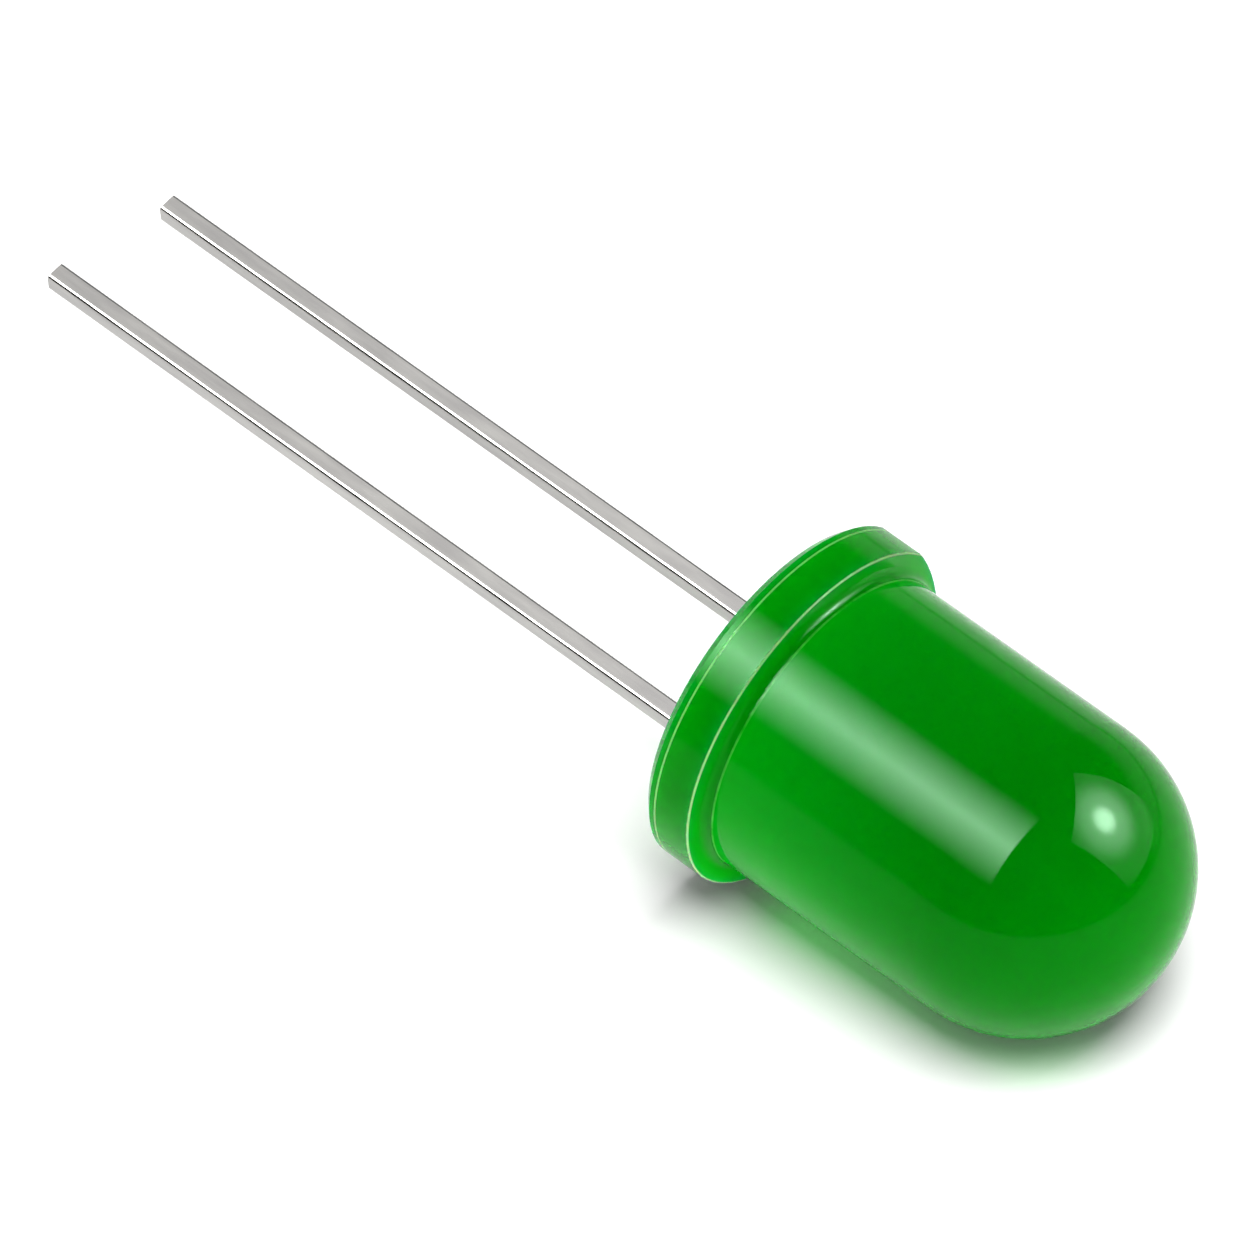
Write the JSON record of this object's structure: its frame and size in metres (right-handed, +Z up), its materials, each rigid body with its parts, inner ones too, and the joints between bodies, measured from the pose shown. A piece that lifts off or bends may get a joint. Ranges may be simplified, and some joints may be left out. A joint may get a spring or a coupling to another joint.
{
  "type": "through hole led",
  "caption": "Round 10 mm light-emitting diode: green tinted epoxy lens with flange and dome, on long square leads.",
  "frame": {"origin": "middle of the part's box, on the surface it lies on", "axes": "+Z up from that surface; +X along the lamp towards its dome, which dips by about 5 degrees; +Y to the cathode's side"},
  "size_m": [0.0412, 0.0111, 0.0116],
  "materials": {
    "lens_epoxy": "glossy, tinted and slightly cloudy",
    "lead_metal": "bright tinned steel",
    "die": "semiconductor crystal",
    "silver_epoxy": "dull silver paste, cured",
    "gold_wire": "bright gold"
  },
  "bodies": {
    "root": {"lens_body": "lens_epoxy", "anode_lead": "lead_metal", "cathode_lead": "lead_metal", "led_chip": "die", "die_attach": "silver_epoxy", "bond_wire": "gold_wire"}
  },
  "joints": []
}
